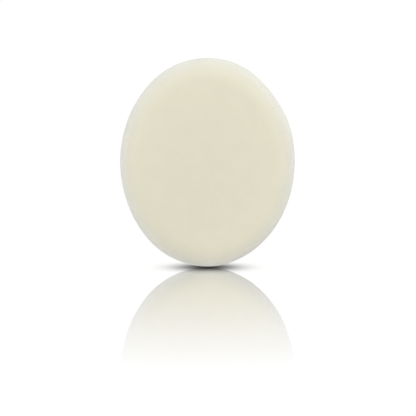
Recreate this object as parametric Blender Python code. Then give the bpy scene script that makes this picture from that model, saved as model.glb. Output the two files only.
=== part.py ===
"""An oval makeup sponge of moulded latex foam, standing upright on its lower rim.

The sponge is made the way the real one is: a foam sheet with a dense skin on each face,
cut to an oval, its rim ground round. It stands with its long axis up (+Z), its width
along X and its front face towards -Y. The origin is the middle of the foot, on the
surface that the sponge stands on.
"""

from math import pi

import bmesh
import bpy
from mathutils import Matrix

# Driving dimensions, in metres
HEIGHT = 0.0600  # from the foot to the top of the oval
WIDTH = 0.0503  # across the widest part of the oval
THICKNESS = 0.0120  # from the front face to the back face
SKIN = 0.0005  # how deep the dense layer under each face goes
RIM_RUN = 0.0065  # how far inside the rim each face starts to round over
RIM_BAND = 0.0005  # the narrow band left straight along the middle of the rim
FOOT_DEPTH = 0.0005  # how much the flat foot takes off the oval's lower end

# How finely the curves are divided
OVAL_SIDES = 64
RIM_STEPS = 7

# Sizes and places that follow from the dimensions
RIM_DROP = (THICKNESS - RIM_BAND) / 2
OVAL_HEIGHT = HEIGHT + FOOT_DEPTH
OVAL_CENTRE_Z = OVAL_HEIGHT / 2 - FOOT_DEPTH
FRONT_BOND_Y = SKIN - THICKNESS / 2
BACK_BOND_Y = THICKNESS / 2 - SKIN

# Directions across the foam sheet and down to the surface it stands on
TO_FRONT = (0, -1, 0)
TO_BACK = (0, 1, 0)
DOWN = (0, 0, -1)

# An edge that turns more than this is a corner
CORNER_ANGLE = pi / 6

# Foam colours as linear RGB, and how matt each foam is
SKIN_CREAM = (0.746, 0.710, 0.571, 1.0)
CORE_IVORY = (0.731, 0.724, 0.648, 1.0)
SKIN_ROUGHNESS = 0.85
CORE_ROUGHNESS = 0.95


def clear_scene():
    for obj in list(bpy.data.objects):
        bpy.data.objects.remove(obj, do_unlink=True)


def foam_material(name, colour, roughness):
    material = bpy.data.materials.new(name)
    material.use_nodes = True
    shader = material.node_tree.nodes["Principled BSDF"]
    shader.inputs["Base Color"].default_value = colour
    shader.inputs["Roughness"].default_value = roughness
    shader.inputs["Metallic"].default_value = 0
    return material


def corners(bm):
    return [edge for edge in bm.edges if edge.calc_face_angle() > CORNER_ANGLE]


def ground_oval(bm):
    """The whole oval of foam: a drum through the sheet, with both its rims rounded over.

    The round runs further across the face than it drops, so it is made round on a drum
    that is thicker by that ratio, and the drum is then pressed to its thickness.
    """
    press = RIM_DROP / RIM_RUN
    stretch = Matrix.Diagonal((WIDTH, THICKNESS / press, OVAL_HEIGHT, 1))
    bmesh.ops.create_cone(
        bm,
        cap_ends=True,
        segments=OVAL_SIDES,
        radius1=1 / 2,
        radius2=1 / 2,
        depth=1,
        matrix=stretch @ Matrix.Rotation(pi / 2, 4, "X"),
    )
    bmesh.ops.bevel(
        bm,
        geom=corners(bm),
        offset=RIM_RUN,
        segments=RIM_STEPS,
        profile=0.5,
        affect="EDGES",
        clamp_overlap=True,
    )
    bmesh.ops.scale(bm, vec=(1, press, 1), verts=bm.verts)
    bmesh.ops.translate(bm, vec=(0, 0, OVAL_CENTRE_Z), verts=bm.verts)


def trim(bm, plane_point, outward):
    """Takes off all that lies beyond a plane, and closes the cut with one flat face."""
    everything = [*bm.verts, *bm.edges, *bm.faces]
    cut = bmesh.ops.bisect_plane(
        bm, geom=everything, plane_co=plane_point, plane_no=outward, clear_outer=True
    )["geom_cut"]
    rim = [item for item in cut if isinstance(item, bmesh.types.BMEdge)]
    if rim:
        bmesh.ops.contextual_create(bm, geom=rim)


def foam_layer(name, cuts, material, collection):
    """One layer of the sponge: the ground oval, trimmed at its bond planes and at the foot."""
    bm = bmesh.new()
    ground_oval(bm)
    for y, outward in cuts:
        trim(bm, (0, y, 0), outward)
    trim(bm, (0, 0, 0), DOWN)
    bmesh.ops.recalc_face_normals(bm, faces=bm.faces)
    mesh = bpy.data.meshes.new(name)
    bm.to_mesh(mesh)
    bm.free()
    mesh.shade_smooth()
    mesh.set_sharp_from_angle(angle=CORNER_ANGLE)
    mesh.materials.append(material)
    collection.objects.link(bpy.data.objects.new(name, mesh))


def build():
    clear_scene()
    sponge = bpy.data.collections.new("makeup_sponge")
    bpy.context.scene.collection.children.link(sponge)
    skin = foam_material("skin_foam", SKIN_CREAM, SKIN_ROUGHNESS)
    core = foam_material("core_foam", CORE_IVORY, CORE_ROUGHNESS)
    foam_layer("front_skin", [(FRONT_BOND_Y, TO_BACK)], skin, sponge)
    foam_layer("foam_core", [(FRONT_BOND_Y, TO_FRONT), (BACK_BOND_Y, TO_BACK)], core, sponge)
    foam_layer("back_skin", [(BACK_BOND_Y, TO_FRONT)], skin, sponge)


build()
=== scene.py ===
"""The looks of an oval makeup sponge of moulded latex foam, standing on its lower rim.

Two dense cream skins lie on an open-celled core, whose ground rim is paler, partly as painted
sheen. The whole pad is shaped as one blank and then parted along its bond planes, so that the
three pieces meet exactly. Lengths are in metres and angles in degrees, unless a name says otherwise.
"""

from math import atan2, cos, degrees, exp, hypot, pi, radians, sin, sqrt

import bmesh
import bpy
from mathutils import Matrix, Vector, noise


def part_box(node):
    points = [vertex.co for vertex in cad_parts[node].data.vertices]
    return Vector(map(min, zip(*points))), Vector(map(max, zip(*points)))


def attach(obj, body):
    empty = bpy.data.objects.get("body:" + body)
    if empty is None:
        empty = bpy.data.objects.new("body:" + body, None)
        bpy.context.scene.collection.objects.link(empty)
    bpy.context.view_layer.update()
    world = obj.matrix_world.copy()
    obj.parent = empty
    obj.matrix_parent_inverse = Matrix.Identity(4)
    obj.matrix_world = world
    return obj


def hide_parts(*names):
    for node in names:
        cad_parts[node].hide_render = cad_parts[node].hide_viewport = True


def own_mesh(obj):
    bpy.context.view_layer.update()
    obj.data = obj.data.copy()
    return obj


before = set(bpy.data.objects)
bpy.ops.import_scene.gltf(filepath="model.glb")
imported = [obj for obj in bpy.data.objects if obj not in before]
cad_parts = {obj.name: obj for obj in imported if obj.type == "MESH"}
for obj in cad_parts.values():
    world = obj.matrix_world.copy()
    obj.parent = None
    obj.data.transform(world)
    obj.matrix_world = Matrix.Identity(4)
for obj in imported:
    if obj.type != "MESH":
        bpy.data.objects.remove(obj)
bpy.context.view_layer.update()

# Sizes of the pad, from the frame
FRONT_FACE_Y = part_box("front_skin")[0].y
BACK_FACE_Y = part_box("back_skin")[1].y
FRONT_BOND_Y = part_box("foam_core")[0].y
BACK_BOND_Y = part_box("foam_core")[1].y
OUTLINE_LOW, OUTLINE_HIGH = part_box("foam_core")
WIDTH = OUTLINE_HIGH.x - OUTLINE_LOW.x
HEIGHT = OUTLINE_HIGH.z - OUTLINE_LOW.z
HALF_THICKNESS = (BACK_FACE_Y - FRONT_FACE_Y) / 2
HALF_CORE = (BACK_BOND_Y - FRONT_BOND_Y) / 2

# How the rim is ground and how the faces swell
RIM_RUN = 0.0065  # how far inside the outline each face starts to round over
RIM_BAND = 0.0004  # the narrow band left straight along the middle of the rim
CROWN = 0.0003  # how much further out the middle of a face stands than its edge
SETTLE = 0.0001  # how far the foam gives way where it rests on the floor

# The oval's outline, as an ellipse that sinks into the floor by the settle
HALF_WIDTH = WIDTH / 2
HALF_HEIGHT = (HEIGHT + SETTLE) / 2
CENTRE_Z = HALF_HEIGHT - SETTLE

# Where the grinding took a little less or more: angle from +X, half width of the place, and
# how far the outline stands out there
GROUND_BY_HAND = [
    (20, 13, 0.00021),
    (46, 13, -0.00020),
    (75, 8, 0.00010),
    (114, 12, 0.00012),
    (206, 18, -0.00013),
    (240, 14, 0.00010),
    (302, 20, -0.00016),
    (334, 10, -0.00006),
    (350, 12, 0.00003),
]
GROUND_FADE = 6  # the power by which this dies away towards the middle of a face

# Soft unevenness of the moulded foam: how far apart the swells are, and how high
SWELLS = [(0.0070, 0.000030), (0.0022, 0.000010), (0.0009, 0.000004)]
BOND_CALM = 0.0010  # the swells die away this close to a bond, so that its faces stay flat

# How finely the blank is divided
OVAL_SIDES = 384
RIM_STEPS = 30
FACE_STEP = 0.0006  # between two rings on a face
FACE_REACH = 0.0160  # about how far in from the outline the evenly spaced rings go
MIDDLE_STEPS = 14  # rings that then shrink to the middle of the face
BOND_NEIGHBOUR = 0.00003  # a ring this close on each side of the bond keeps the shading unbroken
BOND_CLEAR = 0.00012  # and no other ring comes this close to it
HALVINGS = 60  # steps in the search for the bond

# Which piece a face of the blank belongs to
CORE, FRONT_SKIN, BACK_SKIN = range(3)

# What each vertex carries for the materials
BARENESS = "bareness"  # how far into the foam the surface lies, 0 at a face and 1 at mid rim
PLACE = "place_in_blank"  # where it lay in the unsqueezed blank, so that the cells stay put

# The picture's frame, and where the oval stands in it, in pixels
FRAME_SIDE_PX = 416
OVAL_CENTRE_PX = (207.35, 162.5)
OVAL_HEIGHT_PX = 207.9
CAMERA_ELEVATION = 4
CAMERA_DISTANCE = 0.60
SENSOR = 36  # millimetres, as Blender has it
NEAREST_SEEN = 0.01  # as a share of the camera's distance


# Shape of the pad


def face_height(inset):
    """How far from the mid plane the surface stands, this far in from the outline."""
    turn = max(0, 1 - inset / RIM_RUN)
    rounded = (HALF_THICKNESS - CROWN - RIM_BAND / 2) * sqrt(1 - turn * turn)
    dome = CROWN * (1 - (1 - min(inset, HALF_WIDTH) / HALF_WIDTH) ** 2)
    return RIM_BAND / 2 + rounded + dome


def bond_inset():
    """How far in from the outline the surface crosses a bond plane."""
    low, high = 0, RIM_RUN
    for _ in range(HALVINGS):
        middle = (low + high) / 2
        if face_height(middle) < HALF_CORE:
            low = middle
        else:
            high = middle
    return low


def ring_insets():
    """How far in from the outline each ring of the blank lies, outermost first."""
    round_over = [RIM_RUN * (1 - cos(pi / 2 * step / RIM_STEPS)) for step in range(1, RIM_STEPS + 1)]
    bond = bond_inset()
    apart = [inset for inset in round_over if abs(inset - bond) > BOND_CLEAR]
    at_bond = [bond - BOND_NEIGHBOUR, bond, bond + BOND_NEIGHBOUR]
    even = round((FACE_REACH - RIM_RUN) / FACE_STEP)
    face = [RIM_RUN + FACE_STEP * step for step in range(1, even + 1)]
    return sorted(apart + at_bond + face)


def drum(bm):
    """The narrow oval band along the middle of the rim, closed by a flat face on each side."""
    stretch = Matrix.Diagonal((WIDTH, RIM_BAND, 2 * HALF_HEIGHT, 1))
    bmesh.ops.create_cone(
        bm,
        cap_ends=True,
        segments=OVAL_SIDES,
        radius1=1 / 2,
        radius2=1 / 2,
        depth=1,
        matrix=Matrix.Translation((0, 0, CENTRE_Z)) @ stretch @ Matrix.Rotation(pi / 2, 4, "X"),
    )
    return [face for face in bm.faces if len(face.verts) == OVAL_SIDES]


def layer_of(face):
    """Which skin a face of the blank lies on, beyond the bond."""
    return FRONT_SKIN if face.calc_center_median().y < 0 else BACK_SKIN


def raise_faces(bm, caps):
    """Draws both flat faces inwards ring by ring, and out along the rounded profile."""
    bond = bond_inset()
    last = 0
    for inset in ring_insets():
        rise = face_height(inset) - face_height(last)
        ring = bmesh.ops.inset_region(
            bm,
            faces=caps,
            thickness=inset - last,
            depth=rise,
            use_boundary=True,
            use_even_offset=True,
        )["faces"]
        if inset > bond:
            for face in ring:
                face.material_index = layer_of(face)
        last = inset
    for face in caps:
        face.material_index = layer_of(face)
    return last


def close_middles(bm, caps, inset):
    """Shrinks what is left of each face to its middle, in rings, and closes it with a pole."""
    for step in range(MIDDLE_STEPS):
        share = 1 - 1 / (MIDDLE_STEPS + 1 - step)
        deeper = inset + (HALF_WIDTH - inset) * (1 - share)
        rise = face_height(deeper) - face_height(inset)
        ring = bmesh.ops.inset_region(bm, faces=caps, thickness=0, depth=0, use_boundary=True)["faces"]
        for face in ring:
            face.material_index = layer_of(face)
        for cap in caps:
            bmesh.ops.scale(
                bm,
                vec=(share, 1, share),
                space=Matrix.Translation((0, 0, -CENTRE_Z)),
                verts=cap.verts,
            )
            bmesh.ops.translate(bm, vec=(0, rise if cap.normal.y > 0 else -rise, 0), verts=cap.verts)
        inset = deeper
    bmesh.ops.poke(bm, faces=caps)


def ground_offset(angle):
    """How far the outline stands out from the true oval, at this angle from +X."""
    total = 0
    for middle, half_width, depth in GROUND_BY_HAND:
        away = (angle - middle + 180) % 360 - 180
        total += depth * exp(-((away / half_width) ** 2))
    return total


def shape_by_hand(bm):
    """Gives the blank its slightly uneven outline, soft swells, and the flat that it rests on."""
    bm.normal_update()
    for vert in bm.verts:
        place = vert.co.copy()
        across = place.x / HALF_WIDTH
        up = (place.z - CENTRE_Z) / HALF_HEIGHT
        reach = hypot(across, up)
        outward = Vector((place.x, 0, place.z - CENTRE_Z)).normalized()
        angle = degrees(atan2(place.z - CENTRE_Z, place.x))
        vert.co += outward * ground_offset(angle) * reach**GROUND_FADE
        wave = sum(swell * noise.noise(place / spacing) for spacing, swell in SWELLS)
        calm = exp(-(((abs(place.y) - HALF_CORE) / BOND_CALM) ** 2))
        vert.co += wave * Vector((vert.normal.x, vert.normal.y * (1 - calm), vert.normal.z))
    for vert in bm.verts:
        vert.co.z = max(vert.co.z, OUTLINE_LOW.z)


def foam_blank():
    """The whole pad as one closed shape, each of its faces marked with the layer that it lies on."""
    bm = bmesh.new()
    caps = drum(bm)
    reached = raise_faces(bm, caps)
    close_middles(bm, caps, reached)
    shape_by_hand(bm)
    bareness = bm.verts.layers.float.new(BARENESS)
    place = bm.verts.layers.float_vector.new(PLACE)
    for vert in bm.verts:
        vert[bareness] = 1 - min(1, abs(vert.co.y) / HALF_THICKNESS)
        vert[place] = vert.co
    return bm


def part_layer(blank, layer, name, material):
    """Parts one layer from the blank, and closes it with a flat face at each bond."""
    bm = blank.copy()
    others = [face for face in bm.faces if face.material_index != layer]
    bmesh.ops.delete(bm, geom=others, context="FACES")
    bond_edges = [edge for edge in bm.edges if edge.is_boundary]
    bmesh.ops.holes_fill(bm, edges=bond_edges, sides=0)
    for face in bm.faces:
        face.smooth = True
        face.material_index = 0
    for edge in bond_edges:
        edge.smooth = False
    bmesh.ops.recalc_face_normals(bm, faces=bm.faces)
    mesh = bpy.data.meshes.new(name)
    bm.to_mesh(mesh)
    bm.free()
    mesh.materials.append(material)
    piece = bpy.data.objects.new(name, mesh)
    bpy.context.scene.collection.objects.link(piece)
    return piece


# Finish of the foam

# The foam's colour by its bareness: cream skin, thinner skin near the rim, then paler open foam. The
# whitening towards the rim is partly the bare foam's own colour and partly painted sheen
TINTS_AND_PAINTED_SHEEN = [
    (0.00, (0.739, 0.702, 0.562, 1)),
    (0.04, (0.753, 0.726, 0.581, 1)),
    (0.25, (0.770, 0.750, 0.637, 1)),
    (0.42, (0.815, 0.802, 0.712, 1)),
    (0.60, (0.837, 0.835, 0.771, 1)),
    (1.00, (0.846, 0.835, 0.755, 1)),
]
PATCH = 0.0048  # the size of the faint patches in the foam's tone
PATCH_DETAIL = 2
GRAIN = 0.00045
GRAIN_DETAIL = 4
NOISE_LOW = 0.25  # most of a noise lies between these two
NOISE_HIGH = 0.75
SMALL_CELL = 0.00015  # from one foam cell to the next
LARGE_CELL = 0.00034
SKIN_OPEN = 0.25  # the share of the cells that the skin leaves open
OPEN_SOON = 0.50  # the bareness from which on every cell is open
SKIN_MOUTH = 0.30  # the radius of a cell's mouth in the skin, as a share of the spacing
RIM_MOUTH = 0.62  # and at the middle of the rim, where the cells meet
LEAST_MOUTH = 0.5  # the smallest mouth, as a share of the middle one
CELL_FLOOR = 0.15  # the share of the mouth that is flat at the bottom
CELL_DEPTH = 0.00006
SKIN_DEPTH = 0.30  # how deep a cell is in the skin, as a share of that
WARP = 0.00010  # how far the cells are pushed out of round
WARP_SIZE = 0.00030
FUZZ = 0.00006  # the size of the torn bits of cell wall
FUZZ_DETAIL = 2
FUZZ_DEPTH = 0.35  # as a share of a cell's depth
CELL_SHADE_COLOUR = (0.66, 0.63, 0.56, 1)  # painted shade in an open cell's hollow: darker, and warmer as light comes out of it
CELL_SHADE = 0.42  # how much of that painted shade an open cell shows
STREAK = (260, 5200, 260)  # streaks a metre that the grinding wheel left along the rim
STREAK_TONE = 0.02
STREAK_DEPTH = 0.3  # as a share of a cell's depth
ROUGH_SKIN = 0.78
ROUGH_CELL = 0.97
SPECULAR = 0.3
SHEEN = 0.15  # the soft light that the torn cell walls catch
SHEEN_ROUGHNESS = 0.5

# How much lighter or darker the patches and the grain are in each foam
SKIN_TONES = {"Patches": 0.010, "Grains": 0.010}
CORE_TONES = {"Patches": 0.010, "Grains": 0.012}


def node(tree, kind, inputs=(), **settings):
    """One shader node. An input is a value, or the socket that feeds it."""
    made = tree.nodes.new("ShaderNode" + kind)
    for name, value in settings.items():
        setattr(made, name, value)
    for name, value in dict(inputs).items():
        if isinstance(value, bpy.types.NodeSocket):
            tree.links.new(value, made.inputs[name])
        else:
            made.inputs[name].default_value = value
    return made


def sum_up(tree, operation, *values):
    """One step of arithmetic on numbers or on the outputs of other nodes."""
    made = node(tree, "Math", enumerate(values), operation=operation)
    return made.outputs["Value"]


def vector_step(tree, operation, *values):
    """One step of arithmetic on vectors. It leaves a Vector, or a Value such as a length."""
    return node(tree, "VectorMath", enumerate(values), operation=operation).outputs


def blend(tree, share, first, second):
    """A colour that goes from the first to the second."""
    inputs = {"Fac": share, "Color1": first, "Color2": second}
    return node(tree, "MixRGB", inputs).outputs["Color"]


def spread(tree, value, low, high, to_low, to_high):
    """Carries a range of values over to another one, with soft ends."""
    inputs = {
        "Value": value,
        "From Min": low,
        "From Max": high,
        "To Min": to_low,
        "To Max": to_high,
    }
    return node(tree, "MapRange", inputs, interpolation_type="SMOOTHSTEP").outputs["Result"]


def scaled(tree, vector, factor):
    inputs = {"Vector": vector, "Scale": factor}
    return node(tree, "VectorMath", inputs, operation="SCALE").outputs["Vector"]


def unevenness(tree, place, size, detail, tone):
    """A factor near 1 that wanders up and down by the tone, over places of this size."""
    inputs = {"Vector": place, "Scale": 1 / size, "Detail": detail}
    wander = node(tree, "TexNoise", inputs).outputs["Fac"]
    darkest = sum_up(tree, "SUBTRACT", 1.0, tone)
    lightest = sum_up(tree, "ADD", 1.0, tone)
    return spread(tree, wander, NOISE_LOW, NOISE_HIGH, darkest, lightest)


def new_group(name, inputs, outputs):
    """An empty node group, with its named inputs and outputs."""
    tree = bpy.data.node_groups.new(name, "ShaderNodeTree")
    for socket, kind in inputs:
        tree.interface.new_socket(name=socket, in_out="INPUT", socket_type=kind)
    for socket, kind in outputs:
        tree.interface.new_socket(name=socket, in_out="OUTPUT", socket_type=kind)
    given = tree.nodes.new("NodeGroupInput").outputs
    result = tree.nodes.new("NodeGroupOutput").inputs
    return tree, given, result


def use_group(tree, group, inputs):
    return node(tree, "Group", inputs, node_tree=group).outputs


def cut_cells(tree, place, bareness, spacing):
    """Cells of one size: 1 at the bottom of an open one, 0 on the walls between them."""
    cells = node(tree, "TexVoronoi", {"Vector": place, "Scale": 1 / spacing})
    chance = node(tree, "SeparateColor", {"Color": cells.outputs["Color"]}).outputs["Red"]
    shut = spread(tree, bareness, 0, OPEN_SOON, 1 - SKIN_OPEN, 0)
    opened = sum_up(tree, "GREATER_THAN", chance, shut)
    mouth = spread(tree, bareness, 0, 1, SKIN_MOUTH, RIM_MOUTH)
    size = sum_up(tree, "MULTIPLY", mouth, sum_up(tree, "ADD", LEAST_MOUTH, chance))
    bowl = spread(
        tree, sum_up(tree, "DIVIDE", cells.outputs["Distance"], size), CELL_FLOOR, 1, 1, 0
    )
    return sum_up(tree, "MULTIPLY", bowl, opened)


def foam_cells_group():
    """Foam cells cut open at the surface: few and small in the skin, all of them at mid rim."""
    tree, given, result = new_group(
        "foam_cells",
        [("Place", "NodeSocketVector"), ("Bareness", "NodeSocketFloat")],
        [("Cells", "NodeSocketFloat"), ("Height", "NodeSocketFloat")],
    )
    place, bareness = given["Place"], given["Bareness"]
    wander = node(tree, "TexNoise", {"Vector": place, "Scale": 1 / WARP_SIZE}).outputs["Color"]
    warped = vector_step(tree, "MULTIPLY_ADD", wander, (WARP, WARP, WARP), place)["Vector"]
    small = cut_cells(tree, warped, bareness, SMALL_CELL)
    large = cut_cells(tree, warped, bareness, LARGE_CELL)
    cells = sum_up(tree, "MAXIMUM", small, large)
    tree.links.new(cells, result["Cells"])
    depth = spread(tree, bareness, 0, OPEN_SOON, SKIN_DEPTH, 1)
    torn = {"Vector": place, "Scale": 1 / FUZZ, "Detail": FUZZ_DETAIL}
    fuzz = node(tree, "TexNoise", torn).outputs["Fac"]
    raised = sum_up(tree, "MULTIPLY", fuzz, FUZZ_DEPTH)
    height = sum_up(tree, "MULTIPLY", sum_up(tree, "SUBTRACT", raised, cells), depth)
    tree.links.new(height, result["Height"])
    return tree


def foam_tone_group():
    """The foam's colour: cream at the skin, paler where it is bare and partly whitened by painted
    sheen towards the rim, with faint patches and grain, and painted shade in the open cells.
    """
    tree, given, result = new_group(
        "foam_tone",
        [
            ("Place", "NodeSocketVector"),
            ("Bareness", "NodeSocketFloat"),
            ("Cells", "NodeSocketFloat"),
            ("Patches", "NodeSocketFloat"),
            ("Grains", "NodeSocketFloat"),
        ],
        [("Colour", "NodeSocketColor"), ("Roughness", "NodeSocketFloat")],
    )
    place = given["Place"]
    # the ramp gives the bare foam's paler colour, with painted sheen towards the rim
    ramp = node(tree, "ValToRGB", {"Fac": given["Bareness"]})
    stops = ramp.color_ramp.elements
    while len(stops) < len(TINTS_AND_PAINTED_SHEEN):
        stops.new(1)
    for stop, (bareness, colour) in zip(stops, TINTS_AND_PAINTED_SHEEN):
        stop.position = bareness
        stop.color = colour
    tint = ramp.outputs["Color"]
    patches = unevenness(tree, place, PATCH, PATCH_DETAIL, given["Patches"])
    grains = unevenness(tree, place, GRAIN, GRAIN_DETAIL, given["Grains"])
    # painted shade: the open cells darken and warm the foam's colour
    cell_shade_share = sum_up(tree, "MULTIPLY", given["Cells"], CELL_SHADE)
    tone = sum_up(tree, "MULTIPLY", patches, grains)
    tree.links.new(scaled(tree, blend(tree, cell_shade_share, tint, CELL_SHADE_COLOUR), tone), result["Colour"])
    tree.links.new(spread(tree, given["Cells"], 0, 1, ROUGH_SKIN, ROUGH_CELL), result["Roughness"])
    return tree


def new_material(name):
    material = bpy.data.materials.new(name)
    material.use_nodes = True
    return material, material.node_tree, material.node_tree.nodes["Principled BSDF"]


def foam_material(name, cells_group, tone_group, tones, ground):
    """Soft latex foam. A ground surface also shows the streaks that the wheel left."""
    material, tree, shader = new_material(name)
    place = node(tree, "Attribute", attribute_name=PLACE).outputs["Vector"]
    bareness = node(tree, "Attribute", attribute_name=BARENESS).outputs["Fac"]
    surface = {"Place": place, "Bareness": bareness}
    cells = use_group(tree, cells_group, surface)
    tone = use_group(tree, tone_group, {**surface, "Cells": cells["Cells"], **tones})
    colour = tone["Colour"]
    height = cells["Height"]
    if ground:
        stretched = node(tree, "Mapping", {"Vector": place, "Scale": STREAK}, vector_type="POINT")
        streak = node(tree, "TexNoise", {"Vector": stretched.outputs["Vector"], "Scale": 1})
        shown = sum_up(tree, "MULTIPLY", streak.outputs["Fac"], bareness)
        darker = spread(tree, shown, 0, 1, 1, 1 - STREAK_TONE)
        colour = scaled(tree, colour, darker)
        height = sum_up(tree, "MULTIPLY_ADD", shown, STREAK_DEPTH, height)
    relief = node(tree, "Bump", {"Height": height, "Distance": CELL_DEPTH})
    tree.links.new(colour, shader.inputs["Base Color"])
    tree.links.new(tone["Roughness"], shader.inputs["Roughness"])
    tree.links.new(relief.outputs["Normal"], shader.inputs["Normal"])
    shader.inputs["Specular IOR Level"].default_value = SPECULAR
    shader.inputs["Sheen Weight"].default_value = SHEEN
    shader.inputs["Sheen Roughness"].default_value = SHEEN_ROUGHNESS
    return material


# The stage

TENT_EVEN = 1.452  # the light tent's brightness at its horizon, before it leans
TENT_LEAN = (0.183, -0.082, -0.540)  # what it gains towards +X, +Y and +Z; a minus is a loss
BACKDROP = 1.02  # the white that the camera and the reflections see behind the sponge
TENT_COLOUR = (1, 1, 0.985, 1)
TABLE_REACH = 30  # how far the table goes to each side
TABLE_DEPTH = 0.00027  # the clear sheet on the table, above its white, polished underside
TABLE_GLOW = 0.877  # the light that the table throws up at the sponge
TABLE_LEAN = (-0.095, 0, 0)  # the share of it gained towards +X, +Y and +Z
TABLE_COLOUR = (1, 0.995, 0.975, 1)  # of that light
TABLE_WHITE = 1.02  # how bright the camera sees the table
POLISH_MOST = 0.88  # the share of a mirror in the floor near the sponge
POLISH_END = 0.205  # where that has faded away
POLISH_POWER = 1.84  # how late it fades
POLISH_BLUR = 0.02  # the mirror's roughness
CONTACT_SHADE = 0.96  # how dark the painted contact shadow makes the floor right under the foot
CONTACT_MIDDLE = (0, -0.0006, 0)  # the middle of that shade
CONTACT_SPREAD = (0.0099, 0.0121, 1)  # how far out it has mostly gone, along X and Y
CONTACT_POWER = 2.5  # how sharp its edge is


def floor_material():
    """A glowing white table, polished round the sponge, so that the sponge shows in it.

    A painted contact shadow darkens it round the foot for the eye, while the foam is lit as by the
    open table.
    """
    material, tree, shader = new_material("white_table")
    tree.nodes.remove(shader)
    place = node(tree, "TexCoord").outputs["Object"]
    away = vector_step(tree, "LENGTH", place)["Value"]
    gone = sum_up(tree, "POWER", sum_up(tree, "DIVIDE", away, POLISH_END), POLISH_POWER)
    left = sum_up(tree, "MAXIMUM", sum_up(tree, "SUBTRACT", 1.0, gone), 0.0)
    polish = sum_up(tree, "MULTIPLY", left, POLISH_MOST)
    # painted contact shadow: the floor is darkened round the foot by its place alone
    centred = vector_step(tree, "SUBTRACT", place, CONTACT_MIDDLE)["Vector"]
    round_up = vector_step(tree, "DIVIDE", centred, CONTACT_SPREAD)["Vector"]
    out = vector_step(tree, "LENGTH", round_up)["Value"]
    fall = sum_up(tree, "POWER", out, CONTACT_POWER)
    shade = sum_up(tree, "EXPONENT", sum_up(tree, "MULTIPLY", fall, -1.0))
    lit = sum_up(tree, "SUBTRACT", 1.0, sum_up(tree, "MULTIPLY", shade, CONTACT_SHADE))
    white = node(tree, "Emission", {"Strength": sum_up(tree, "MULTIPLY", lit, TABLE_WHITE)})
    mirror = node(tree, "BsdfAnisotropic", {"Color": lit, "Roughness": POLISH_BLUR})
    layers = {"Fac": polish, 1: white.outputs["Emission"], 2: mirror.outputs["BSDF"]}
    table = node(tree, "MixShader", layers)
    way = vector_step(tree, "NORMALIZE", place)["Vector"]
    lean = vector_step(tree, "DOT_PRODUCT", way, TABLE_LEAN)["Value"]
    up = sum_up(tree, "MULTIPLY_ADD", lean, TABLE_GLOW, TABLE_GLOW)
    glow = node(tree, "Emission", {"Color": TABLE_COLOUR, "Strength": up})
    ray = node(tree, "LightPath").outputs
    for_foam = sum_up(tree, "MAXIMUM", ray["Is Diffuse Ray"], ray["Is Glossy Ray"])
    sides = {"Fac": for_foam, 1: table.outputs["Shader"], 2: glow.outputs["Emission"]}
    seen = node(tree, "MixShader", sides)
    tree.links.new(seen.outputs["Shader"], tree.nodes["Material Output"].inputs["Surface"])
    return material


def floor():
    mesh = bpy.data.meshes.new("floor")
    bm = bmesh.new()
    underside = Matrix.Translation((0, 0, -TABLE_DEPTH))
    bmesh.ops.create_grid(bm, x_segments=1, y_segments=1, size=TABLE_REACH, matrix=underside)
    bm.to_mesh(mesh)
    bm.free()
    mesh.materials.append(floor_material())
    piece = bpy.data.objects.new("floor", mesh)
    bpy.context.scene.collection.objects.link(piece)


def light_tent():
    """Soft white light from all round, brighter from the front, the right and lower down.

    Only the foam's diffuse light comes from it. The camera and the reflections see the backdrop.
    """
    world = bpy.data.worlds.new("light_tent")
    world.use_nodes = True
    tree = world.node_tree
    place = node(tree, "TexCoord").outputs["Generated"]
    lean = vector_step(tree, "DOT_PRODUCT", place, TENT_LEAN)["Value"]
    tent = sum_up(tree, "ADD", lean, TENT_EVEN)
    for_foam = node(tree, "LightPath").outputs["Is Diffuse Ray"]
    brighter = sum_up(tree, "MULTIPLY", for_foam, sum_up(tree, "SUBTRACT", tent, BACKDROP))
    background = tree.nodes["Background"]
    background.inputs["Color"].default_value = TENT_COLOUR
    tree.links.new(sum_up(tree, "ADD", brighter, BACKDROP), background.inputs["Strength"])
    bpy.context.scene.world = world


def camera():
    """A long lens, a little above the sponge's middle, that frames the oval as the picture does."""
    metres_per_px = HEIGHT / OVAL_HEIGHT_PX
    right = (FRAME_SIDE_PX / 2 - OVAL_CENTRE_PX[0]) * metres_per_px
    below = (FRAME_SIDE_PX / 2 - OVAL_CENTRE_PX[1]) * metres_per_px
    aim = Vector((right, 0, CENTRE_Z - below))
    tilt = radians(CAMERA_ELEVATION)
    lens = bpy.data.cameras.new("camera")
    lens.sensor_width = SENSOR
    lens.lens = SENSOR * CAMERA_DISTANCE / (FRAME_SIDE_PX * metres_per_px)
    lens.clip_start = CAMERA_DISTANCE * NEAREST_SEEN
    eye = bpy.data.objects.new("camera", lens)
    eye.location = aim + CAMERA_DISTANCE * Vector((0, -cos(tilt), sin(tilt)))
    eye.rotation_euler = (pi / 2 - tilt, 0, 0)
    bpy.context.scene.collection.objects.link(eye)
    bpy.context.scene.camera = eye


# Putting it together

cells_group = foam_cells_group()
tone_group = foam_tone_group()
skin_finish = foam_material("skin_foam_finish", cells_group, tone_group, SKIN_TONES, ground=False)
core_finish = foam_material("core_foam_finish", cells_group, tone_group, CORE_TONES, ground=True)
blank = foam_blank()
front = part_layer(blank, FRONT_SKIN, "front_skin_foam", skin_finish)
core = part_layer(blank, CORE, "open_cell_core", core_finish)
back = part_layer(blank, BACK_SKIN, "back_skin_foam", skin_finish)
blank.free()

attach(front, "front")
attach(core, "pad")
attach(back, "pad")
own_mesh(core)
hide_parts("front_skin")
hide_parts("foam_core")
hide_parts("back_skin")

floor()
light_tent()
camera()
bpy.context.scene.view_settings.view_transform = "Standard"
